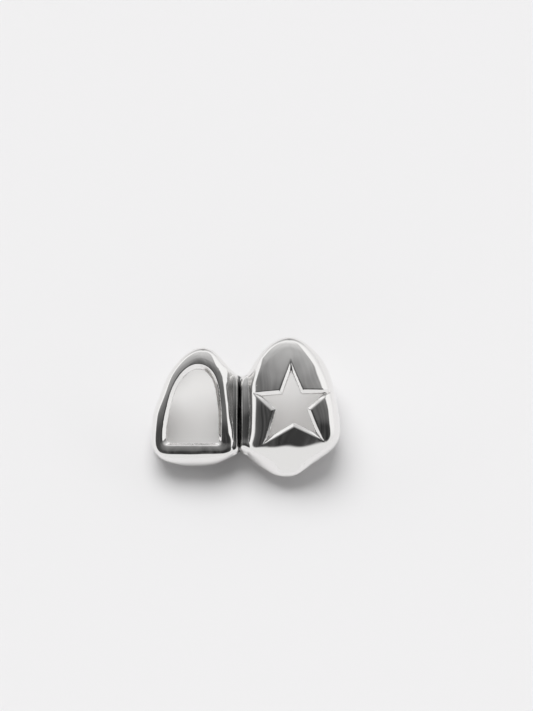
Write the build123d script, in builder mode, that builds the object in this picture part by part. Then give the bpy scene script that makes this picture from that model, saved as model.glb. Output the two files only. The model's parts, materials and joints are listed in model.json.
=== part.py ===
"""Tooth cover for an upper lateral incisor and the canine beside it, cast and soldered as one piece.

Each tooth is covered by a thin cap: a face, a rounded biting edge and a back, open at the gum, where the
tooth goes in. The incisor's cap has a window in its face and the canine's a five-pointed star.

It is drawn as worn, then laid on its back. As worn, X runs along the row of teeth, Y goes into the mouth
and Z up to the gum, with the canine's tip at Z 0 and the seam between the two caps at X 0.
"""

import os
from collections import namedtuple
from math import cos, degrees, pi, radians, sin, tan

import numpy as np
from build123d import *

# Caps, as worn: depth is from the face to the back, turn is how far the face looks to one side
incisor_width = 6.9
incisor_height = 9.3
incisor_depth = 7.4
incisor_centre = -3.35
incisor_tip = 0.8
incisor_face = 0.0
incisor_turn = 8.0

canine_width = 7.7
canine_height = 10.9
canine_depth = 8.1
canine_centre = 4.2
canine_tip = 0.0
canine_face = -0.35
canine_turn = 3.0

wall = 0.65
face_squareness = 2.3
back_squareness = 2.1
section_points = 16

# Rim along the gum: its lowest point between the caps, and how much lower it is for each mm of depth
saddle_height = 7.9
rim_front = 1.2
rim_drop = 0.12

# Openings in the faces
cut_pitch = 6.0

window_width = 3.9
window_height = 5.47
window_centre = -3.62
window_sill = 3.05
window_corner = 0.35
window_reach = 1.9
window_bevel = 0.22

star_width = 6.05
star_height = 6.67
star_bevel_share = 0.0364
star_bevel = star_bevel_share * star_width
star_centre = 4.18
star_foot = 2.58
star_reach = 2.6

# Solder bar in the valley between the caps, rounded in front
bar_width = 0.72
bar_centre = 0.32
bar_face = 0.7
bar_back = 3.4

cut_room = 6.0
square_to = 0.02
along_to = 0.9
rest_tolerance = 0.02
rest_pitch = 31.0
rest_step = 4.0
rest_finest = 1000

# Heights are shares of the cap's height, left and right of its width, and the rest of its depth
Row = namedtuple("Row", "height left right face side back")
incisor_rows = [
    Row(0.003, -0.100, 0.100, 0.150, 0.186, 0.220),
    Row(0.013, -0.188, 0.203, 0.115, 0.193, 0.256),
    Row(0.052, -0.348, 0.355, 0.052, 0.205, 0.300),
    Row(0.116, -0.457, 0.500, 0.014, 0.232, 0.355),
    Row(0.206, -0.497, 0.500, 0.003, 0.264, 0.415),
    Row(0.323, -0.500, 0.503, 0.000, 0.300, 0.500),
    Row(0.465, -0.483, 0.493, 0.007, 0.358, 0.625),
    Row(0.632, -0.445, 0.490, 0.036, 0.440, 0.800),
    Row(0.826, -0.391, 0.486, 0.097, 0.532, 0.955),
    Row(1.045, -0.348, 0.470, 0.207, 0.632, 1.055),
    Row(1.290, -0.326, 0.455, 0.371, 0.743, 1.110),
]
canine_rows = [
    Row(0.003, -0.117, -0.013, 0.154, 0.179, 0.204),
    Row(0.012, -0.171, 0.039, 0.130, 0.185, 0.241),
    Row(0.048, -0.266, 0.130, 0.096, 0.208, 0.320),
    Row(0.109, -0.412, 0.253, 0.058, 0.275, 0.398),
    Row(0.194, -0.542, 0.410, 0.017, 0.340, 0.478),
    Row(0.303, -0.528, 0.491, 0.000, 0.375, 0.568),
    Row(0.436, -0.506, 0.492, 0.000, 0.400, 0.676),
    Row(0.594, -0.500, 0.468, 0.021, 0.450, 0.802),
    Row(0.775, -0.488, 0.416, 0.077, 0.535, 0.936),
    Row(0.982, -0.462, 0.364, 0.185, 0.632, 1.035),
    Row(1.211, -0.435, 0.325, 0.358, 0.745, 1.125),
]

# Rim of each cap, left to right: shares of the cap's width from its centre, and of its height from its tip
Spot = namedtuple("Spot", "across up")
incisor_rim = [
    Spot(-0.75, 0.45),
    Spot(-0.448, 0.566),
    Spot(-0.322, 0.745),
    Spot(-0.203, 0.868),
    Spot(-0.086, 0.952),
    Spot(0.065, 1.000),
    Spot(0.183, 0.978),
    Spot(0.284, 0.910),
    Spot(0.384, 0.830),
]
canine_rim = [
    Spot(-0.410, 0.778),
    Spot(-0.349, 0.843),
    Spot(-0.260, 0.919),
    Spot(-0.155, 0.976),
    Spot(-0.034, 1.003),
    Spot(0.071, 0.986),
    Spot(0.192, 0.926),
    Spot(0.297, 0.853),
    Spot(0.373, 0.779),
    Spot(0.426, 0.694),
    Spot(0.456, 0.598),
    Spot(0.75, 0.30),
]

# Outline of the window above its sill, and the star's corners from its top tip to the left: shares of the
# opening's width from its centre, and of its height
window_arch = [
    Spot(0.495, 0.000),
    Spot(0.497, 0.210),
    Spot(0.493, 0.405),
    Spot(0.466, 0.602),
    Spot(0.429, 0.759),
    Spot(0.344, 0.897),
    Spot(0.232, 0.975),
    Spot(0.105, 1.000),
    Spot(-0.107, 0.936),
    Spot(-0.249, 0.817),
    Spot(-0.361, 0.641),
    Spot(-0.432, 0.444),
    Spot(-0.490, 0.247),
    Spot(-0.507, 0.100),
    Spot(-0.500, 0.000),
]
star_corners = [
    Spot(-0.020, 1.000),
    Spot(-0.164, 0.634),
    Spot(-0.500, 0.591),
    Spot(-0.260, 0.400),
    Spot(-0.375, 0.000),
    Spot(0.028, 0.208),
    Spot(0.398, 0.052),
    Spot(0.248, 0.409),
    Spot(0.500, 0.646),
    Spot(0.152, 0.643),
]

# Solder bar: height as a share of the saddle's, width of the bar's, and how far its front stands back,
# in bar widths
BarRow = namedtuple("BarRow", "height width setback back")
bar_rows = [
    BarRow(0.230, 0.60, 0.70, 0.58),
    BarRow(0.290, 0.90, 0.30, 0.66),
    BarRow(0.400, 1.00, 0.02, 0.78),
    BarRow(0.630, 1.00, 0.05, 1.00),
    BarRow(0.850, 1.00, 0.40, 1.15),
    BarRow(1.150, 1.00, 1.10, 1.30),
]

Cap = namedtuple("Cap", "width height depth centre tip face turn rows")
incisor = Cap(
    incisor_width, incisor_height, incisor_depth, incisor_centre, incisor_tip, incisor_face, incisor_turn,
    incisor_rows,
)
canine = Cap(
    canine_width, canine_height, canine_depth, canine_centre, canine_tip, canine_face, canine_turn, canine_rows
)


def rounded(value, squareness):
    """Sine or cosine of a squarer circle."""
    return abs(value) ** (2 / squareness) * (1 if value > 0 else -1)


def section(cap, row, inset):
    """Points round a cap at one height, with the wall's inset thinner where the cap is narrow."""
    across = inset * (row.right - row.left) ** 0.5
    through = inset * ((row.back - row.face) / max(each.back - each.face for each in cap.rows)) ** 0.5
    left = cap.centre + cap.width * row.left + across
    right = cap.centre + cap.width * row.right - across
    middle, half = (left + right) / 2, (right - left) / 2
    side = cap.face + cap.depth * row.side
    face = cap.face + cap.depth * row.face + through
    back = cap.face + cap.depth * row.back - through
    points = []
    for step in range(section_points):
        angle = 2 * pi * step / section_points
        bulge, squareness = (face - side, face_squareness) if sin(angle) < 0 else (back - side, back_squareness)
        x = middle + half * rounded(cos(angle), squareness)
        y = side + bulge * abs(rounded(sin(angle), squareness))
        points.append((x, y - tan(radians(cap.turn)) * (x - cap.centre)))
    return points


def crown(cap, inset=0):
    """Outer form of a cap, or the room inside it for the tooth."""
    with BuildPart() as form:
        for row in cap.rows:
            with BuildSketch(Plane.XY.offset(cap.tip + inset + (cap.height - inset) * row.height)):
                with BuildLine():
                    Spline(*section(cap, row, inset), periodic=True)
                make_face()
        loft()
    return form.part


def face_plane(cap, x, z):
    """Plane along a cap's face, looking out of the mouth."""
    turn, pitch = radians(cap.turn), radians(cut_pitch)
    out = (-sin(turn) * cos(pitch), -cos(turn) * cos(pitch), sin(pitch))
    return Plane(
        origin=(x, cap.face - tan(turn) * (x - cap.centre), z), x_dir=(cos(turn), -sin(turn), 0), z_dir=out
    )


def rim_points():
    points = []
    for cap, rim in ((incisor, incisor_rim), (canine, canine_rim)):
        if cap is canine:
            points.append((bar_centre, saddle_height))
        points += [(cap.centre + cap.width * spot.across, cap.tip + cap.height * spot.up) for spot in rim]
    return points


def front_edges(cut_faces, plane):
    """Outermost edge of each face that a cut along the plane's normal has left."""
    edges = []
    for face in cut_faces:
        if abs(face.normal_at().dot(plane.z_dir)) < square_to:
            rims = [edge for edge in face.edges() if abs((edge % 0.5).dot(plane.z_dir)) < along_to]
            edges.append(max(rims, key=lambda edge: (edge @ 0.5 - plane.origin).dot(plane.z_dir)))
    return sorted(edges, key=lambda edge: (edge @ 0.5).Z)


def surface_points(solid):
    return np.array([tuple(vertex) for vertex in solid.tessellate(rest_tolerance)[0]])


def resting_plane(solid):
    """Plane that the cover lies on by itself, the one with the least height of its mass centre above it."""
    points = surface_points(solid) - np.array(tuple(solid.center(CenterOf.MASS)))

    def down(pitch, roll):
        return np.array((sin(roll), cos(roll) * cos(pitch), -cos(roll) * sin(pitch)))

    def height(way):
        return (points @ down(*way)).max()

    way, step = (radians(rest_pitch), 0.0), radians(rest_step)
    while step > radians(rest_step) / rest_finest:
        tries = [(way[0] + a * step, way[1] + b * step) for a in (0, -1, 1) for b in (0, -1, 1)]
        best = min(tries, key=height)
        step, way = (step / 2 if best == way else step), best
    normal = -down(*way)
    print(f"rests at a pitch of {degrees(way[0]):.2f} and a roll of {degrees(way[1]):.2f} degrees")
    return Plane(origin=(0, 0, 0), x_dir=tuple(np.array((1, 0, 0)) - normal[0] * normal), z_dir=tuple(normal))


def inset_corners(corners, amount):
    """Corners of a polygon whose edges are all moved in by amount, its corners taken counter-clockwise."""
    points = np.array(corners)
    along = np.roll(points, -1, axis=0) - points
    inward = np.column_stack((-along[:, 1], along[:, 0])) / np.linalg.norm(along, axis=1)[:, None]
    found = []
    for before, after, point in zip(np.roll(inward, 1, axis=0), inward, points):
        found.append(tuple(point + amount * (before + after) / (1 + before @ after)))
    return found


incisor_form = crown(incisor)
canine_form = crown(canine)
incisor_room = crown(incisor, wall)
canine_room = crown(canine, wall)

window_plane = face_plane(incisor, window_centre, window_sill)
with BuildPart() as incisor_cap:
    add(incisor_form)
    with BuildSketch(window_plane.offset(cut_room)) as opening:
        with BuildLine():
            arch = Spline(*[(window_width * spot.across, window_height * spot.up) for spot in window_arch])
            Line(arch @ 1, arch @ 0)
        make_face()
        fillet(opening.vertices().group_by(Axis.Y)[0], window_corner)
    extrude(amount=-(cut_room + window_reach), mode=Mode.SUBTRACT)
    chamfer(front_edges(incisor_cap.faces(Select.LAST), window_plane), window_bevel)

star_plane = face_plane(canine, star_centre, star_foot)
with BuildPart() as canine_cap:
    add(canine_form)
    with BuildSketch(star_plane.offset(cut_room)):
        with BuildLine():
            corners = [(star_width * spot.across, star_height * spot.up) for spot in star_corners]
            Polyline(*inset_corners(corners, star_bevel), close=True)
        make_face()
    extrude(amount=-(cut_room + star_reach), mode=Mode.SUBTRACT)
    chamfer(front_edges(canine_cap.faces(Select.LAST), star_plane), star_bevel)

with BuildPart() as cover:
    add(incisor_cap.part)
    add(canine_cap.part)
    for row in bar_rows:
        half = bar_width * row.width / 2
        front = bar_face + bar_width * row.setback
        with BuildSketch(Plane.XY.offset(saddle_height * row.height)):
            with BuildLine():
                ThreePointArc((bar_centre - half, front + half), (bar_centre, front), (bar_centre + half, front + half))
                Polyline(
                    (bar_centre + half, front + half),
                    (bar_centre + half, bar_back * row.back),
                    (bar_centre - half, bar_back * row.back),
                    (bar_centre - half, front + half),
                )
            make_face()
    loft()
    with BuildSketch(Plane.XZ.offset(-rim_front)):
        with BuildLine():
            rim = Spline(*rim_points())
            top = canine_tip + canine_height + cut_room
            Polyline(rim @ 1, ((rim @ 1).X, top), ((rim @ 0).X, top), rim @ 0)
        make_face()
    extrude(amount=canine_depth + incisor_depth, dir=(0, 1, -rim_drop), both=True, mode=Mode.SUBTRACT)
    add(incisor_room, mode=Mode.SUBTRACT)
    add(canine_room, mode=Mode.SUBTRACT)

to_table = resting_plane(cover.part).location.inverse()
lying = cover.part.moved(to_table)
low, high = surface_points(lying).min(axis=0), surface_points(lying).max(axis=0)
to_origin = Pos(-(low[0] + high[0]) / 2, -(low[1] + high[1]) / 2, -low[2]) * to_table
lying = cover.part.moved(to_origin)
print("size", high - low, "volume", lying.volume, "valid", lying.is_valid, "solids", len(lying.solids()))
print("lies at", to_origin)

os.makedirs("parts", exist_ok=True)
lying.label = "tooth_cover"
export_step(lying, "parts/tooth_cover.step")
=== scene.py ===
import json
import math

import bpy
import numpy as np
from mathutils import Matrix, Vector


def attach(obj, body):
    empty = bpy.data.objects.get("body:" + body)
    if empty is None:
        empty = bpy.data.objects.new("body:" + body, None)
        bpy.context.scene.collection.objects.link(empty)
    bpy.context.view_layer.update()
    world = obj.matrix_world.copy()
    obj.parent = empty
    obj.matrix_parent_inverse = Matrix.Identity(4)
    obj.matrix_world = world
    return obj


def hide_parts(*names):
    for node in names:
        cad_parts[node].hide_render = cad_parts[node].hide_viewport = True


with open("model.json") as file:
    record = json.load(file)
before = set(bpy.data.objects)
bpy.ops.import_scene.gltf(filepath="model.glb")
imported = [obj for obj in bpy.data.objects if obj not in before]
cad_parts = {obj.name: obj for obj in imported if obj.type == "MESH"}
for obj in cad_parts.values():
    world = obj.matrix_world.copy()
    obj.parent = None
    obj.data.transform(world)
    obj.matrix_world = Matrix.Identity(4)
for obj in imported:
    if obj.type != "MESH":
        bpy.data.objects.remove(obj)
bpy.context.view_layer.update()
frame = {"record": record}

mm = 0.001
tiny = 1e-6

# Sizes below are in millimetres as worn: x along the row, y into the mouth, z to the gum

# The net is the grid that the surface is found on
net = {
    "pitch": 0.075, "low": (-7.3, -1.2, -0.4), "high": (8.5, 8.8, 11.5),
    "block": 4, "near": 0.42,  # grid points along a block, and how near the surface it is worked out in full
    "triangles": 190000,
    "step": 0.01, "rounds": 3, "leastSlope": 0.05,  # how corners settle on the surface
    "longestMove": 0.5,  # share of the pitch
}


def naturalSpline(knots, values, spots):
    # Smooth curve through the values, with no bend at its ends
    knots, values = np.array(knots, float), np.array(values, float)
    gaps, rises = np.diff(knots), np.diff(values)
    matrix = np.eye(len(knots))
    bends = np.zeros(len(knots))
    for i in range(1, len(knots) - 1):
        matrix[i, i - 1:i + 2] = gaps[i - 1], 2 * (gaps[i - 1] + gaps[i]), gaps[i]
        bends[i] = 6 * (rises[i] / gaps[i] - rises[i - 1] / gaps[i - 1])
    bends = np.linalg.solve(matrix, bends)
    i = np.clip(np.searchsorted(knots, spots) - 1, 0, len(gaps) - 1)
    before, after = knots[i + 1] - spots, spots - knots[i]
    return (
        (bends[i] * before ** 3 + bends[i + 1] * after ** 3) / (6 * gaps[i])
        + (values[i] / gaps[i] - bends[i] * gaps[i] / 6) * before
        + (values[i + 1] / gaps[i] - bends[i + 1] * gaps[i] / 6) * after
    )


def smoothPath(points, samples):
    # Both coordinates of a smooth curve through the points, spaced by the distances between them
    lengths = np.concatenate([[0], np.cumsum(np.hypot(*np.diff(points, axis=0).T))])
    spots = np.linspace(0, lengths[-1], samples)
    return (naturalSpline(lengths, points[:, i], spots) for i in (0, 1))


def layLines(piece, knots, rows):
    # A smooth line over the knots for each column of the rows after the first
    piece["spots"] = np.linspace(knots[0], knots[-1], piece["samples"])
    piece["lines"] = [naturalSpline(knots, column, piece["spots"]) for column in rows.T[1:]]


def readLines(piece, places):
    return (np.interp(places, piece["spots"], line) for line in piece["lines"])


def between(first, last, share):
    return first + (last - first) * share


def fade(share):
    share = np.clip(share, 0, 1)
    return share * share * (3 - 2 * share)


def softMax(a, b, radius):
    return np.maximum(a, b) + np.maximum(radius - np.abs(a - b), 0) ** 2 / (4 * radius)


def softMin(a, b, radius):
    return -softMax(-a, -b, radius)


# Each row is a section: its height, left edge, right edge, face, widest place and back, as shares of the
# cap's height, width and depth. The square values, at the tip and at the top, say how square a side is.
incisorCap = {
    "width": 6.9, "height": 9.3, "depth": 7.4, "centre": -3.35, "tip": 0.8, "face": 0.0,
    "turn": 4.0, "backTurn": 8.0, "leftSquare": (6.0, 4.0), "rightSquare": (2.0, 2.15),
    "mouth": {"inward": 3.9, "up": 8.6}, "samples": 3000,
    "rows": [
        (0.003, -0.100, 0.100, 0.150, 0.186, 0.220),
        (0.013, -0.188, 0.203, 0.115, 0.193, 0.256),
        (0.052, -0.348, 0.345, 0.045, 0.205, 0.300),
        (0.116, -0.457, 0.475, 0.003, 0.232, 0.355),
        (0.206, -0.497, 0.500, 0.000, 0.264, 0.415),
        (0.323, -0.500, 0.503, 0.000, 0.300, 0.500),
        (0.465, -0.483, 0.493, 0.007, 0.358, 0.625),
        (0.632, -0.445, 0.490, 0.036, 0.440, 0.800),
        (0.826, -0.391, 0.486, 0.097, 0.532, 0.955),
        (1.045, -0.348, 0.470, 0.207, 0.632, 1.055),
        (1.290, -0.326, 0.455, 0.371, 0.743, 1.110),
    ],
}
canineCap = {
    "width": 7.7, "height": 10.9, "depth": 8.1, "centre": 4.2, "tip": 0.0, "face": -0.35,
    "turn": 3.0, "backTurn": 3.0, "leftSquare": (1.9, 3.9), "rightSquare": (4.4, 2.3),
    "samples": 3000,
    "rows": [
        (0.003, -0.117, -0.013, 0.154, 0.179, 0.204),
        (0.012, -0.171, 0.039, 0.130, 0.185, 0.241),
        (0.048, -0.266, 0.130, 0.096, 0.208, 0.320),
        (0.109, -0.412, 0.253, 0.058, 0.275, 0.398),
        (0.194, -0.542, 0.410, 0.017, 0.340, 0.478),
        (0.303, -0.528, 0.491, 0.000, 0.375, 0.568),
        (0.436, -0.506, 0.492, 0.000, 0.400, 0.676),
        (0.594, -0.500, 0.468, 0.021, 0.450, 0.802),
        (0.775, -0.488, 0.416, 0.077, 0.535, 0.936),
        (0.982, -0.462, 0.364, 0.185, 0.632, 1.035),
        (1.211, -0.435, 0.325, 0.358, 0.745, 1.125),
    ],
}
capForm = {
    "wall": 0.65, "insideRound": 0.12,
    "backSquare": 2.1, "blend": 0.5,  # the front goes over to the back within this share of a section's depth
    "turnStart": 1.0, "turnReach": 3.0,  # from here the face's turn goes over to the back's
    "tipShare": 0.0009, "topShare": 2.0, "leastShare": 0.35,  # limits for sections near and inside the tip
    "join": 0.35, "upperJoin": 0.9, "upperStart": 4.5, "upperReach": 3.0,  # fillet between the caps
    "farOut": 0.6, "farShare": 0.5,
}


def prepareCap(cap):
    # Rows are evenly spaced over the root of the height, where the tip is round
    rows = np.array(cap["rows"])
    middle, deep = rows[0, 1:3].mean(), rows[0, 4]
    rows = np.vstack([(0, middle, middle, deep, deep, deep), rows])
    layLines(cap, np.sqrt(rows[:, 0]), rows)
    cap["fullDepth"] = (rows[:, 5] - rows[:, 3]).max()


def capShape(cap, inset):
    # Gives a value that is 0 on the cap's surface and less inside, and how far out of its section a point is
    faceSkew, backSkew = (math.tan(math.radians(cap[name])) for name in ("turn", "backTurn"))

    def shape(x, y, z):
        share = (z - cap["tip"] - inset) / (cap["height"] - inset)
        root = np.sqrt(np.clip(share, capForm["tipShare"], capForm["topShare"]))
        left, right, face, side, back = readLines(cap, root)
        across = inset * np.sqrt(np.maximum(right - left, tiny))
        through = inset * np.sqrt(np.maximum((back - face) / cap["fullDepth"], tiny))
        half, front, rear = (
            np.maximum(full - less, capForm["leastShare"] * full) for full, less in (
                (cap["width"] * (right - left) / 2, across),
                (cap["depth"] * (side - face), through),
                (cap["depth"] * (back - side), through),
            )
        )
        middle = cap["centre"] + cap["width"] * (left + right) / 2
        skew = between(faceSkew, backSkew, fade((y - capForm["turnStart"]) / capForm["turnReach"]))
        deep = y + skew * (x - cap["centre"]) - cap["face"] - cap["depth"] * side
        behind = fade(0.5 + deep / (capForm["blend"] * (front + rear)))
        bulge = between(front, rear, behind)
        up = np.clip((z - cap["tip"]) / cap["height"], 0, 1)
        square = np.where(x < middle, between(*cap["leftSquare"], up), between(*cap["rightSquare"], up))
        square = between(square, capForm["backSquare"], behind)
        value = (np.abs((x - middle) / half) ** square + np.abs(deep / bulge) ** square) ** (1 / square)
        outward = np.hypot(x - middle, deep) * (1 - 1 / np.maximum(value, 1))
        return (root * value) ** 2 - share, outward
    return shape


def capDistance(cap, inset, x, y, z):
    shape, step = capShape(cap, inset), net["step"]
    value, outward = shape(x, y, z)
    steepness = np.sqrt(
        (shape(x + step, y, z)[0] - value) ** 2 + (shape(x, y + step, z)[0] - value) ** 2
        + (shape(x, y, z + step)[0] - value) ** 2
    ) / step
    # The slope alone says too little far out beside a round tip
    return value / steepness + capForm["farShare"] * np.maximum(outward - capForm["farOut"], 0)


def roomDistance(x, y, z):
    # Distance to the nearer cap's inside
    return np.minimum(*(capDistance(cap, capForm["wall"], x, y, z) for cap in (incisorCap, canineCap)))


# Rim along the gum: shares of each cap's width from its centre and of its height from its tip
gumRim = {
    "incisor": [
        (-0.75, 0.45), (-0.448, 0.566), (-0.322, 0.745), (-0.203, 0.868), (-0.086, 0.952), (0.065, 1.000),
        (0.183, 0.978), (0.284, 0.910), (0.384, 0.830),
    ],
    "canine": [
        (-0.410, 0.778), (-0.349, 0.843), (-0.260, 0.919), (-0.155, 0.976), (-0.034, 1.003), (0.071, 0.986),
        (0.192, 0.926), (0.297, 0.853), (0.373, 0.779), (0.426, 0.694), (0.456, 0.598), (0.75, 0.30),
    ],
    "saddle": 7.9, "saddleCentre": 0.32, "samples": 3000,
    "front": 1.2, "drop": 0.12,  # the rim is lower by this share of how far it is behind the front
    "raise": 0.12, "round": 0.42,
    "roll": {"depth": 0.24, "width": 1.0, "most": 1.3},
}


def prepareRim():
    points = [
        (cap["centre"] + cap["width"] * across, cap["tip"] + cap["height"] * up)
        for cap, name in ((incisorCap, "incisor"), (canineCap, "canine")) for across, up in gumRim[name]
    ]
    points.insert(len(gumRim["incisor"]), (gumRim["saddleCentre"], gumRim["saddle"]))
    gumRim["x"], gumRim["z"] = smoothPath(np.array(points), gumRim["samples"])
    gumRim["rise"] = np.gradient(gumRim["z"], gumRim["x"])


def rimDistance(x, y, z):
    # More than 0 on the gum's side of the rim, which drops towards the back
    rise = np.interp(x, gumRim["x"], gumRim["rise"])
    above = z - np.interp(x, gumRim["x"], gumRim["z"]) + gumRim["drop"] * (y - gumRim["front"])
    return above / np.sqrt(1 + rise ** 2 + gumRim["drop"] ** 2) - gumRim["raise"]


def rimRoll(rim):
    # How far the outside rolls in towards the rim
    roll = gumRim["roll"]
    return roll["depth"] * np.clip(1 + rim / roll["width"], 0, roll["most"]) ** 2


def cutAxes(cap, cut, foot):
    # Across, up and out of a cap's face, and where the opening stands
    turn, pitch = math.radians(cap["turn"]), math.radians(cut["pitch"])
    across = np.array((math.cos(turn), -math.sin(turn), 0))
    out = np.array((-math.sin(turn) * math.cos(pitch), -math.cos(turn) * math.cos(pitch), math.sin(pitch)))
    origin = np.array((cut["centre"], cap["face"] - math.tan(turn) * (cut["centre"] - cap["centre"]), foot))
    cut["axes"] = across, np.cross(out, across), out, origin


def cutCoordinates(cut, x, y, z):
    across, up, out, origin = cut["axes"]
    x, y, z = x - origin[0], y - origin[1], z - origin[2]
    return tuple(way[0] * x + way[1] * y + way[2] * z for way in (across, up, out))


def openingTool(cut, edge, surface, out):
    # The metal that a cut takes away, with its bevel, less than 0 inside
    steepness = cut["bevel"] / cut["bevelDepth"]
    slanted = (edge - cut["bevel"] - steepness * surface) / math.sqrt(1 + steepness ** 2)
    return np.maximum(softMin(edge, slanted, cut["corner"]), -cut["reach"] - out)


# The arch's points are shares of the window's width and height. Its radius starts from "middle", a share
# of the height.
windowCut = {
    "width": 3.9, "height": 5.62, "centre": -3.62, "sill": 2.90, "reach": 1.9, "pitch": 6.0,
    "middle": 0.45, "samples": 2000, "round": 0.45,
    "bevel": 0.38, "bevelDepth": 0.39, "corner": 0.04, "edge": 0.05,
    "roll": {
        "depth": 0.26, "most": 1.3, "left": 1.7, "right": 0.9,  # widths on the window's left and right
        "rise": 0.3,  # the right's width starts this far below the sill
        "end": 2.2, "fade": 1.5,  # where it ends on the cap's side, and over what length
    },
    "arch": [
        (0.497, -0.150), (0.495, 0.000), (0.497, 0.210), (0.493, 0.405), (0.466, 0.602), (0.429, 0.759),
        (0.344, 0.897), (0.232, 0.975), (0.105, 1.000), (-0.107, 0.936), (-0.249, 0.817), (-0.361, 0.641),
        (-0.432, 0.444), (-0.490, 0.247), (-0.507, 0.100), (-0.507, 0.000), (-0.503, -0.150),
    ],
}


def prepareWindow():
    # The arch as a radius for each angle from the window's middle
    cutAxes(incisorCap, windowCut, windowCut["sill"])
    points = np.array(windowCut["arch"]) * (windowCut["width"], windowCut["height"])
    side, up = smoothPath(points, windowCut["samples"])
    above = up - windowCut["height"] * windowCut["middle"]
    angle = np.unwrap(np.arctan2(side, above))
    order = np.argsort(angle)
    windowCut["angle"], windowCut["radius"] = angle[order], np.hypot(side, above)[order]
    windowCut["swing"] = np.gradient(windowCut["radius"], windowCut["angle"]) / windowCut["radius"]


def windowDistance(side, up):
    # More than 0 outside the window's edge
    above = up - windowCut["height"] * windowCut["middle"]
    angle = np.arctan2(side, above)
    radius = np.interp(angle, windowCut["angle"], windowCut["radius"])
    swing = np.interp(angle, windowCut["angle"], windowCut["swing"])
    arch = (np.hypot(side, above) - radius) / np.sqrt(1 + swing ** 2)
    return softMax(arch, -up, windowCut["round"])


def windowRoll(side, up, y, window):
    # How far the face rolls in towards the window, over less width on its right above the sill
    roll = windowCut["roll"]
    rightward = fade(0.5 + side / windowCut["width"]) * fade(roll["rise"] + up)
    near = np.clip(1 - window / between(roll["left"], roll["right"], rightward), 0, roll["most"])
    return roll["depth"] * near ** 2 * fade(0.5 - (y - roll["end"]) / roll["fade"])


# The corners are shares of the star's width and height. Each tip reaches into the heart by the overlap.
starCut = {
    "width": 6.05, "height": 6.67, "centre": 4.18, "foot": 2.58, "reach": 2.6, "pitch": 6.0,
    "bevel": 0.31, "bevelDepth": 0.25, "corner": 0.04, "edge": 0.05, "overlap": 0.9,
    "corners": [
        (-0.020, 1.000), (-0.164, 0.634), (-0.510, 0.610), (-0.260, 0.400), (-0.375, 0.000), (0.028, 0.208),
        (0.398, 0.052), (0.248, 0.409), (0.540, 0.656), (0.152, 0.643),
    ],
}


def prepareStar():
    # The star as five tips, three lines each, and the five-sided heart between them
    cutAxes(canineCap, starCut, starCut["foot"])
    corners = np.array(starCut["corners"]) * (starCut["width"], starCut["height"])

    def line(start, end):
        # A line whose left side is inside
        along = (end - start) / np.linalg.norm(end - start)
        return np.array((along[1], -along[0])), start
    starCut["tips"] = []
    for tip in range(0, len(corners), 2):
        before, after = corners[tip - 1], corners[tip + 1]
        starCut["tips"].append((line(before, corners[tip]), line(corners[tip], after), line(after, before)))
    waists = corners[1::2]
    starCut["heart"] = [line(waists[i - 1], waists[i]) for i in range(len(waists))]


def starDistance(side, up):
    # More than 0 outside the star
    def height(line):
        (a, b), start = line
        return (side - start[0]) * a + (up - start[1]) * b
    found = np.max([height(line) for line in starCut["heart"]], axis=0)
    for left, right, chord in starCut["tips"]:
        tip = np.maximum(np.maximum(height(left), height(right)), height(chord) - starCut["overlap"])
        found = np.minimum(found, tip)
    return found


# Each row of the bar: its height as a share of the saddle's, its width and setback as shares of the bar's
# width, and its back as a share of the bar's
solderBar = {
    "width": 0.88, "centre": 0.57, "face": 0.72, "back": 3.4, "samples": 1000,
    "fillet": 0.06, "upperFillet": 0.14,
    "lowerFillet": 0.30, "lowerStart": 3.0, "lowerReach": 1.0,  # from here down
    "ridge": {"width": 0.46, "centre": -0.24, "face": 0.78},
    # The crease sets where painted shade darkens the silver between the ridge and the bar
    "crease": {"centre": 0.06, "reach": 0.17, "face": 0.88, "depth": 0.12, "foot": 1.75},
    "web": {"width": 2.2, "centre": 0.3, "face": 1.75, "lean": 0.2, "foot": 4.2, "fillet": 0.9},
    "rows": [
        (0.235, 0.60, 0.60, 0.58),
        (0.275, 0.95, 0.15, 0.66),
        (0.360, 1.00, 0.00, 0.78),
        (0.630, 1.00, 0.05, 1.00),
        (0.850, 1.00, 0.40, 1.15),
        (1.150, 1.00, 1.10, 1.30),
    ],
}


def prepareBar():
    rows = np.array(solderBar["rows"])
    layLines(solderBar, rows[:, 0] * gumRim["saddle"], rows)


def barDistance(bar, x, y, z):
    # The ridge has the bar's own line, at another width and place
    width, setback, back = readLines(solderBar, z)
    half = bar["width"] * width / 2
    front = bar["face"] + bar["width"] * setback + half
    found = np.hypot(x - bar["centre"], np.minimum(y - front, 0)) - half
    found = np.maximum(found, y - solderBar["back"] * back)
    return np.maximum(found, solderBar["spots"][0] - z)


def webDistance(x, y, z):
    # Metal that fills the valley behind the bar
    web = solderBar["web"]
    beside = np.abs(x - web["centre"]) - web["width"] / 2
    deep = np.maximum(web["face"] + web["lean"] * (gumRim["saddle"] - z) - y, y - solderBar["back"])
    return np.maximum(np.maximum(beside, deep), web["foot"] - z)


def creaseShadeShare(x, y, z):
    # Painted shade: 1 deep in the dark crease between the ridge and the bar, where the silver is mixed
    # towards near-black
    crease = solderBar["crease"]
    beside = fade(1 - np.abs(x - crease["centre"]) / crease["reach"])
    deep = fade((y - crease["face"]) / crease["depth"])
    return beside * deep * fade((z - crease["foot"]) / crease["reach"])


# Slight waves of a surface that was polished by hand, in radians a millimetre along x, y and z
handPolish = {
    "depth": 0.008, "swell": (1.9, 0.6, 1.1), "cross": (-0.8, 0.0, 1.3), "crossStart": 1.0,
    "ripple": (3.1, 0.0, -2.3), "rippleShare": 0.6,
}


def polishWaves(x, y, z):
    swell, cross, ripple = (
        handPolish[name][0] * x + handPolish[name][1] * y + handPolish[name][2] * z
        for name in ("swell", "cross", "ripple")
    )
    waves = np.sin(swell) * np.cos(cross + handPolish["crossStart"])
    return handPolish["depth"] * (waves + handPolish["rippleShare"] * np.sin(ripple))


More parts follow.
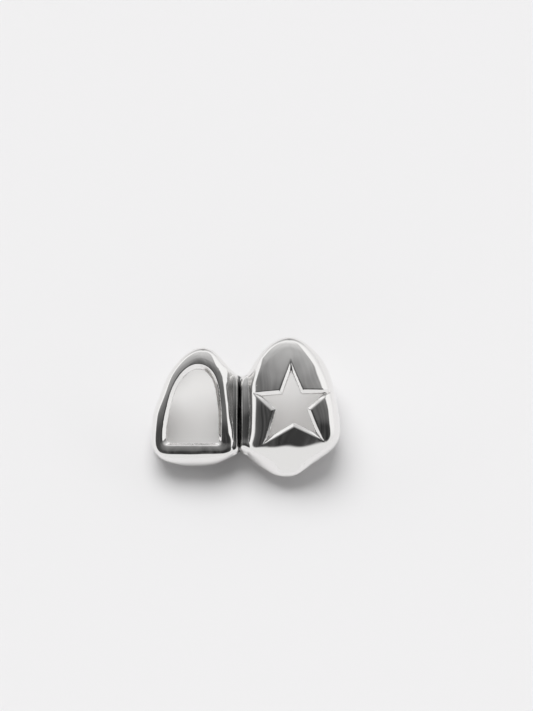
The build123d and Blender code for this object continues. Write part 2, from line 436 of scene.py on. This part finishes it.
def coverField(x, y, z):
    # Distance to the cover's surface, less than 0 in its metal
    side, up, windowOut = cutCoordinates(windowCut, x, y, z)
    window = windowDistance(side, up)
    incisor = capDistance(incisorCap, 0, x, y, z) + windowRoll(side, up, y, window)
    canine = capDistance(canineCap, 0, x, y, z)
    upper = fade((z - capForm["upperStart"]) / capForm["upperReach"])
    lower = fade((solderBar["lowerStart"] - z) / solderBar["lowerReach"])
    outer = softMin(incisor, canine, between(capForm["join"], capForm["upperJoin"], upper))
    fillet = between(solderBar["fillet"], solderBar["upperFillet"], upper)
    fillet = fillet + (solderBar["lowerFillet"] - solderBar["fillet"]) * lower
    outer = softMin(outer, webDistance(x, y, z), solderBar["web"]["fillet"])
    for bar in (solderBar["ridge"], solderBar):
        outer = softMin(outer, barDistance(bar, x, y, z), fillet)
    rim = rimDistance(x, y, z)
    outer = outer + polishWaves(x, y, z) + rimRoll(rim)
    body = softMax(outer, rim, gumRim["round"])
    body = softMax(body, -roomDistance(x, y, z), capForm["insideRound"])
    body = softMax(body, -openingTool(windowCut, window, outer, windowOut), windowCut["edge"])
    side, up, starOut = cutCoordinates(starCut, x, y, z)
    star = starDistance(side, up) + starCut["bevel"]
    return softMax(body, -openingTool(starCut, star, outer, starOut), starCut["edge"])


def fieldValues():
    # Values far from the surface come from the middle of each block
    block, pitch = net["block"], net["pitch"]
    low, high = np.array(net["low"]), np.array(net["high"])
    counts = np.ceil((high - low) / (block * pitch)).astype(int)
    centres = [low[i] + (block * np.arange(counts[i]) + (block - 1) / 2) * pitch for i in range(3)]
    coarse = coverField(*np.meshgrid(*centres, indexing="ij", sparse=True))

    def spread(array):
        for axis in range(3):
            array = np.repeat(array, block, axis)
        return array
    near = spread(np.abs(coarse) < net["near"])
    values = spread(coarse)
    values[near] = coverField(*(low + np.argwhere(near) * pitch).T)
    return values


def surfaceNet(values, low, pitch):
    # One corner in each cell that the surface crosses, and a quad across each grid edge that it crosses
    inside = values < 0
    cells = tuple(n - 1 for n in values.shape)

    def corner(array, a, b, c):
        return array[a:a + cells[0], b:b + cells[1], c:c + cells[2]]
    corners = [(a, b, c) for a in (0, 1) for b in (0, 1) for c in (0, 1)]
    count = sum(corner(inside, *spot).astype(np.int8) for spot in corners)
    active = (count > 0) & (count < len(corners))
    where = np.argwhere(active)
    number = np.full(cells, -1)
    number[active] = np.arange(len(where))
    total, hits = np.zeros((len(where), 3)), np.zeros(len(where))
    for start in corners:
        for axis in range(3):
            if start[axis]:
                continue
            end = tuple(v + (i == axis) for i, v in enumerate(start))
            first, last = corner(values, *start)[active], corner(values, *end)[active]
            crossed = (first < 0) != (last < 0)
            spot = np.tile(np.array(start, float), (len(where), 1))
            spot[:, axis] = np.where(crossed, first / np.where(crossed, first - last, 1), 0)
            total += spot * crossed[:, None]
            hits += crossed
    points = low + (where + total / hits[:, None]) * pitch
    quads = []
    for axis in range(3):
        one, two = (axis + 1) % 3, (axis + 2) % 3
        near = np.take(inside, range(values.shape[axis] - 1), axis)
        far = np.take(inside, range(1, values.shape[axis]), axis)
        edges = np.argwhere(near != far)
        edges = edges[(edges[:, one] > 0) & (edges[:, two] > 0)]
        edges = edges[(edges[:, one] < cells[one]) & (edges[:, two] < cells[two])]
        ring = []
        for a, b in ((1, 1), (0, 1), (0, 0), (1, 0)):
            cell = edges.copy()
            cell[:, one] -= a
            cell[:, two] -= b
            ring.append(number[tuple(cell.T)])
        ring = np.stack(ring, axis=1)
        leaving = near[tuple(edges.T)]
        quads.append(np.where(leaving[:, None], ring, ring[:, ::-1]))
    return points, np.concatenate(quads)


def fieldSlope(x, y, z):
    # The field's value and how fast it changes along each axis
    value, step = coverField(x, y, z), net["step"] / 2
    ahead = coverField(x + step, y, z), coverField(x, y + step, z), coverField(x, y, z + step)
    return value, np.stack([(beyond - value) / step for beyond in ahead], axis=1)


def settle(points):
    # Moves points on to the surface, and gives its normals there
    for turn in range(net["rounds"] + 1):
        value, ways = fieldSlope(*points.T)
        steepness = np.maximum((ways ** 2).sum(axis=1), net["leastSlope"])
        if turn < net["rounds"]:
            move = ways * (value / steepness)[:, None]
            far = np.maximum(np.linalg.norm(move, axis=1), tiny)
            points = points - move * np.minimum(1, net["longestMove"] * net["pitch"] / far)[:, None]
    return points, ways / np.sqrt(steepness)[:, None]


def wornPlace():
    # The record's two sockets say where the worn cover lies
    sockets = {mount["name"]: mount for mount in frame["record"]["mounts"]}
    gum = Vector(sockets["incisor_socket"]["axis"]).normalized()
    names = "incisor_socket", "canine_socket"
    incisorMouth, canineMouth = (Vector(sockets[name]["pos_m"]) for name in names)
    row = canineMouth - incisorMouth
    row = (row - gum * row.dot(gum)).normalized()
    inward = gum.cross(row)
    mouth = incisorCap["mouth"]
    origin = incisorMouth - (row * incisorCap["centre"] + inward * mouth["inward"] + gum * mouth["up"]) * mm
    place = Matrix((row, inward, gum)).transposed().to_4x4()
    place.translation = origin
    return place


def roughCover(points, quads):
    mesh = bpy.data.meshes.new("roughCover")
    mesh.vertices.add(len(points))
    mesh.vertices.foreach_set("co", points.ravel())
    mesh.loops.add(quads.size)
    mesh.loops.foreach_set("vertex_index", quads.ravel().astype(np.int32))
    mesh.polygons.add(len(quads))
    mesh.polygons.foreach_set("loop_start", np.arange(0, quads.size, 4, dtype=np.int32))
    mesh.update(calc_edges=True)
    mesh.validate()
    cover = bpy.data.objects.new("toothCover", mesh)
    bpy.context.scene.collection.objects.link(cover)
    return cover


def thinOut(cover, quadCount):
    # Brings the rough mesh down to the triangles that are wanted
    fewer = cover.modifiers.new("fewer", "DECIMATE")
    fewer.ratio = min(1, net["triangles"] / (2 * quadCount))
    mesh = bpy.data.meshes.new_from_object(cover.evaluated_get(bpy.context.evaluated_depsgraph_get()))
    cover.modifiers.remove(fewer)
    mesh.name = "toothCover"
    cover.data = mesh
    return mesh


def makeCover(place):
    for cap in (incisorCap, canineCap):
        prepareCap(cap)
    prepareRim()
    prepareWindow()
    prepareStar()
    prepareBar()
    points, quads = surfaceNet(fieldValues(), np.array(net["low"]), net["pitch"])
    print("surface", len(points), "corners", len(quads), "faces")
    cover = roughCover(settle(points)[0], quads)
    mesh = thinOut(cover, len(quads))
    points = np.empty(len(mesh.vertices) * 3)
    mesh.vertices.foreach_get("co", points)
    points, normals = settle(points.reshape(-1, 3))
    rotation = np.array(place.to_3x3())
    mesh.vertices.foreach_set("co", (points @ rotation.T * mm + np.array(place.translation)).ravel())
    mesh.update()
    mesh.polygons.foreach_set("use_smooth", np.ones(len(mesh.polygons), bool))
    mesh.normals_split_custom_set_from_vertices((normals @ rotation.T).tolist())
    # The crease's painted shade, and how far each point is from the caps' inside
    for name, values in (("paintedCreaseShade", creaseShadeShare(*points.T)), ("fromRoom", roomDistance(*points.T))):
        mesh.attributes.new(name, "FLOAT", "POINT").data.foreach_set("value", values)
    print("cover", len(mesh.vertices), "corners", len(mesh.polygons), "faces")
    return cover


class Nodes:
    # Adds nodes to one tree. An input is given a value or another node's output.
    def __init__(self, tree):
        self.tree = tree

    def add(self, kind, **settings):
        made = self.tree.nodes.new("ShaderNode" + kind)
        for name, value in settings.items():
            setattr(made, name, value)
        return made

    def give(self, socket, value):
        if isinstance(value, bpy.types.NodeSocket):
            self.tree.links.new(value, socket)
        else:
            socket.default_value = value

    def calculate(self, operation, *values):
        made = self.add("Math", operation=operation)
        for socket, value in zip(made.inputs, values):
            self.give(socket, value)
        return made.outputs[0]

    def vector(self, operation, first, second):
        made = self.add("VectorMath", operation=operation)
        self.give(made.inputs[0], first)
        self.give(made.inputs[1], second)
        return made.outputs["Value" if operation == "DOT_PRODUCT" else "Vector"]

    def mapRange(self, value, start, end, low=0.0, high=1.0, kind="LINEAR"):
        made = self.add("MapRange", interpolation_type=kind)
        names = "Value", "From Min", "From Max", "To Min", "To Max"
        for name, given in zip(names, (value, start, end, low, high)):
            self.give(made.inputs[name], given)
        return made.outputs["Result"]

    def noise(self, spot, scale, detail=2.0):
        made = self.add("TexNoise")
        for name, given in (("Vector", spot), ("Scale", scale), ("Detail", detail)):
            self.give(made.inputs[name], given)
        return made.outputs["Fac"]

    def mix(self, share, first, second):
        made = self.add("Mix", data_type="RGBA")
        self.give(made.inputs["Factor"], share)
        colours = [socket for socket in made.inputs if socket.type == "RGBA"]
        self.give(colours[0], first)
        self.give(colours[1], second)
        return [socket for socket in made.outputs if socket.type == "RGBA"][0]


# Scales are of features to a metre, and depths in metres. Satin and frost belong to the hollows' walls, and
# end "inside" millimetres from them.
silver = {
    # The crease colour is painted shade, a near-black that the crease between the ridge and the bar is mixed
    # towards
    "colour": (0.90, 0.89, 0.88, 1), "paintedCreaseShade": (0.03, 0.03, 0.032, 1),
    "shine": 0.05, "satin": 0.35, "frost": 0.35, "inside": 0.12,
    "smudges": {"scale": 700.0, "rough": 0.05},
    "waves": {"scale": 900.0, "depth": 2.0e-6},
    "lines": {"scale": 2500.0, "depth": 0.35e-6, "squeeze": (1.0, 0.12, 0.2), "detail": 4.0},
    "grain": {"scale": 16000.0, "depth": 3.0e-6},
    "pits": {"scale": 1300.0, "size": 0.055, "plainShare": 0.88, "depth": 25e-6},
}


def castingPits(nodes, spot):
    # Round pits, 1 at their middles, in the few cells of a pattern that aren't plain
    pits = silver["pits"]
    cells = nodes.add("TexVoronoi")
    nodes.give(cells.inputs["Scale"], pits["scale"])
    nodes.give(cells.inputs["Vector"], spot)
    pit = nodes.calculate("SUBTRACT", 1, nodes.calculate("DIVIDE", cells.outputs["Distance"], pits["size"]))
    parted = nodes.add("SeparateColor")
    nodes.give(parted.inputs["Color"], cells.outputs["Color"])
    chosen = nodes.calculate("GREATER_THAN", parted.outputs["Red"], pits["plainShare"])
    return nodes.calculate("MULTIPLY", nodes.calculate("MAXIMUM", pit, 0), chosen)


def polishedSilver():
    material = bpy.data.materials.new("polishedSilver")
    material.use_nodes = True
    nodes = Nodes(material.node_tree)
    shader = material.node_tree.nodes["Principled BSDF"].inputs
    spot = nodes.add("TexCoord").outputs["Object"]

    def noise(layer):
        squeezed = nodes.add("Mapping")
        nodes.give(squeezed.inputs["Vector"], spot)
        nodes.give(squeezed.inputs["Scale"], layer.get("squeeze", (1, 1, 1)))
        return nodes.noise(squeezed.outputs["Vector"], layer["scale"], layer.get("detail", 2.0))
    fromRoom = nodes.add("Attribute", attribute_name="fromRoom").outputs["Fac"]
    away = nodes.calculate("MAXIMUM", nodes.calculate("DIVIDE", fromRoom, silver["inside"]), 0)
    inside = nodes.calculate("SUBTRACT", 1, nodes.calculate("MINIMUM", away, 1))
    # Painted shade: the crease between the ridge and the bar is mixed towards near-black
    paintedCreaseShade = nodes.add("Attribute", attribute_name="paintedCreaseShade").outputs["Fac"]
    nodes.give(shader["Base Color"], nodes.mix(paintedCreaseShade, silver["colour"], silver["paintedCreaseShade"]))
    smudges = noise(silver["smudges"])
    polished = nodes.calculate("MULTIPLY_ADD", smudges, silver["smudges"]["rough"], silver["shine"])
    satin = nodes.calculate("MULTIPLY", inside, silver["satin"])
    nodes.give(shader["Roughness"], nodes.calculate("ADD", polished, satin))
    nodes.give(shader["Metallic"], nodes.calculate("MULTIPLY_ADD", inside, -silver["frost"], 1))
    height = nodes.calculate("MULTIPLY", noise(silver["waves"]), silver["waves"]["depth"])
    height = nodes.calculate("MULTIPLY_ADD", noise(silver["lines"]), silver["lines"]["depth"], height)
    grain = nodes.calculate("MULTIPLY", noise(silver["grain"]), inside)
    height = nodes.calculate("MULTIPLY_ADD", grain, silver["grain"]["depth"], height)
    height = nodes.calculate("MULTIPLY_ADD", castingPits(nodes, spot), -silver["pits"]["depth"], height)
    bump = nodes.add("Bump")
    nodes.give(bump.inputs["Distance"], 1.0)
    nodes.give(bump.inputs["Height"], height)
    nodes.give(shader["Normal"], bump.outputs["Normal"])
    print("silver", len(material.node_tree.nodes), "nodes")
    return material


# The frame's height is at the aim, and the nearest distance that the camera sees is in metres
shot = {"lens": 200.0, "sensor": 36.0, "frameHeight": 55.5, "aim": (2.21, 0.3, 9.52), "nearest": 0.01}


def makeCamera(place):
    row, inward, gum = (place.to_3x3() @ Vector(way) for way in ((1, 0, 0), (0, 1, 0), (0, 0, 1)))
    camera = bpy.data.objects.new("camera", bpy.data.cameras.new("camera"))
    bpy.context.scene.collection.objects.link(camera)
    camera.data.lens, camera.data.sensor_width = shot["lens"], shot["sensor"]
    camera.data.clip_start = shot["nearest"]
    distance = shot["frameHeight"] * shot["lens"] / shot["sensor"] * mm
    turn = Matrix((row, gum, -inward)).transposed().to_4x4()
    turn.translation = place @ (Vector(shot["aim"]) * mm) - inward * distance
    camera.matrix_world = turn
    bpy.context.scene.camera = camera
    print("camera", round(distance, 3), "metres away")


# The floor's size is in metres
ground = {"size": 3.0, "colour": (0.83, 0.825, 0.83, 1), "roughness": 0.9}


def makeFloor():
    bpy.ops.mesh.primitive_plane_add(size=ground["size"])
    floor = bpy.context.object
    floor.name = "floor"
    paint = bpy.data.materials.new("floorPaint")
    paint.use_nodes = True
    shader = paint.node_tree.nodes["Principled BSDF"]
    shader.inputs["Base Color"].default_value = ground["colour"]
    shader.inputs["Roughness"].default_value = ground["roughness"]
    floor.data.materials.append(paint)
    print("floor", ground["size"], "metres wide")


# Directions are from the cover, in degrees: azimuth 0 is towards the camera and grows to the picture's right.
# Each stop is an angle and how bright the tent is there.
tent = {
    "backdrop": 0.80, "black": 0.008,
    "dark": {
        "azimuth": (-72, 60), "elevation": (-19, 95), "tilt": 0.07,
        "corner": 17, "soft": 3,  # radius of the corners, and how far the edge is soft on each side
    },
    "ahead": ((-90, 0.03), (2, 0.03), (14, 0.12), (30, 0.26), (46, 0.45), (66, 0.62), (80, 0.95), (90, 1.0)),
    "across": ((-180, 0.05), (-75, 0.05), (-35, 0.02), (0, 0.01), (50, 0.0), (180, 0.0)),
    "around": ((-90, 0.83), (-15, 0.83), (5, 0.96), (60, 1.0), (90, 1.0)),
    "sides": ((0, 1.0), (84, 1.0), (108, 0.82), (135, 0.55), (180, 0.35)),
    "streaks": {"azimuth": 0.11, "elevation": 0.012, "noise": (0.3, 0.7), "light": (-0.03, 0.05)},
}


def brightness(nodes, angle, stops):
    # A ramp over the whole turn, so that half of it is at angle 0
    ramp = nodes.add("ValToRGB")
    nodes.give(ramp.inputs["Fac"], nodes.calculate("MULTIPLY_ADD", angle, 1 / 360, 0.5))
    ramp.color_ramp.interpolation = "EASE"
    elements = ramp.color_ramp.elements
    while len(elements) < len(stops):
        elements.new(0.5)
    for element, (stop, value) in zip(elements, stops):
        element.position = stop / 360 + 0.5
        element.color = (value, value, value, 1)
    return ramp.outputs["Color"]


def openingEdge(nodes, azimuth, elevation):
    # 0 in the dark opening and 1 beyond its soft edge, with round corners
    dark = tent["dark"]
    leaning = nodes.calculate("MULTIPLY_ADD", azimuth, dark["tilt"], elevation)
    squares = []
    for angle, (low, high) in ((azimuth, dark["azimuth"]), (leaning, dark["elevation"])):
        away = nodes.calculate("ABSOLUTE", nodes.calculate("SUBTRACT", angle, (low + high) / 2))
        beyond = nodes.calculate("SUBTRACT", away, (high - low) / 2 - dark["corner"])
        squares.append(nodes.calculate("POWER", nodes.calculate("MAXIMUM", beyond, 0), 2))
    far = nodes.calculate("SQRT", nodes.calculate("ADD", *squares))
    start, end = dark["corner"] - dark["soft"], dark["corner"] + dark["soft"]
    return nodes.mapRange(far, start, end, kind="SMOOTHSTEP")


def openingLight(nodes, azimuth, elevation):
    # Dark ahead and lighter above, with faint upright streaks
    streaks = tent["streaks"]
    spread = nodes.add("CombineXYZ")
    nodes.give(spread.inputs["X"], nodes.calculate("MULTIPLY", azimuth, streaks["azimuth"]))
    nodes.give(spread.inputs["Y"], nodes.calculate("MULTIPLY", elevation, streaks["elevation"]))
    clutter = nodes.noise(spread.outputs["Vector"], 1.0)
    clutter = nodes.mapRange(clutter, *streaks["noise"], *streaks["light"])
    ahead, across = brightness(nodes, elevation, tent["ahead"]), brightness(nodes, azimuth, tent["across"])
    lit = nodes.vector("ADD", nodes.vector("ADD", ahead, across), clutter)
    return nodes.vector("MAXIMUM", lit, (tent["black"],) * 3)


def makeTent(place):
    # White tent with a dark opening round the camera, seen only by the light
    world = bpy.data.worlds.new("tent")
    bpy.context.scene.world = world
    world.use_nodes = True
    world.node_tree.nodes.clear()
    nodes = Nodes(world.node_tree)
    direction = nodes.add("TexCoord").outputs["Generated"]
    right, ahead, up = (
        nodes.vector("DOT_PRODUCT", direction, place.to_3x3() @ Vector(way))
        for way in ((1, 0, 0), (0, -1, 0), (0, 0, 1))
    )
    azimuth = nodes.calculate("MULTIPLY", nodes.calculate("ARCTAN2", right, ahead), math.degrees(1))
    elevation = nodes.calculate("MULTIPLY", nodes.calculate("ARCSINE", up), math.degrees(1))
    sides = brightness(nodes, nodes.calculate("ABSOLUTE", azimuth), tent["sides"])
    around = nodes.vector("MULTIPLY", brightness(nodes, elevation, tent["around"]), sides)
    opening = openingLight(nodes, azimuth, elevation)
    light = nodes.mix(openingEdge(nodes, azimuth, elevation), opening, around)
    plain = (tent["backdrop"],) * 3 + (1,)
    background = nodes.add("Background")
    seen = nodes.mix(nodes.add("LightPath").outputs["Is Camera Ray"], light, plain)
    nodes.give(background.inputs["Color"], seen)
    nodes.give(nodes.add("OutputWorld").inputs["Surface"], background.outputs[0])
    print("tent", len(world.node_tree.nodes), "nodes")


# The angle is how wide the sun looks, in degrees
lamp = {"angle": 50.0, "strength": 2.25, "from": (-0.06, 0.2, 0.35)}


def makeSun():
    # Lights the floor evenly, and isn't seen in the silver
    sun = bpy.data.objects.new("sun", bpy.data.lights.new("sun", "SUN"))
    bpy.context.scene.collection.objects.link(sun)
    sun.data.angle, sun.data.energy = math.radians(lamp["angle"]), lamp["strength"]
    sun.rotation_mode = "QUATERNION"
    sun.rotation_quaternion = Vector(lamp["from"]).to_track_quat("Z", "Y")
    sun.visible_glossy = False
    print("sun of strength", lamp["strength"])


place = wornPlace()
cover = makeCover(place)
cover.data.materials.append(polishedSilver())
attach(cover, "root")
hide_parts("tooth_cover")
bpy.context.scene.view_settings.view_transform = "Standard"
makeCamera(place)
makeFloor()
makeTent(place)
makeSun()
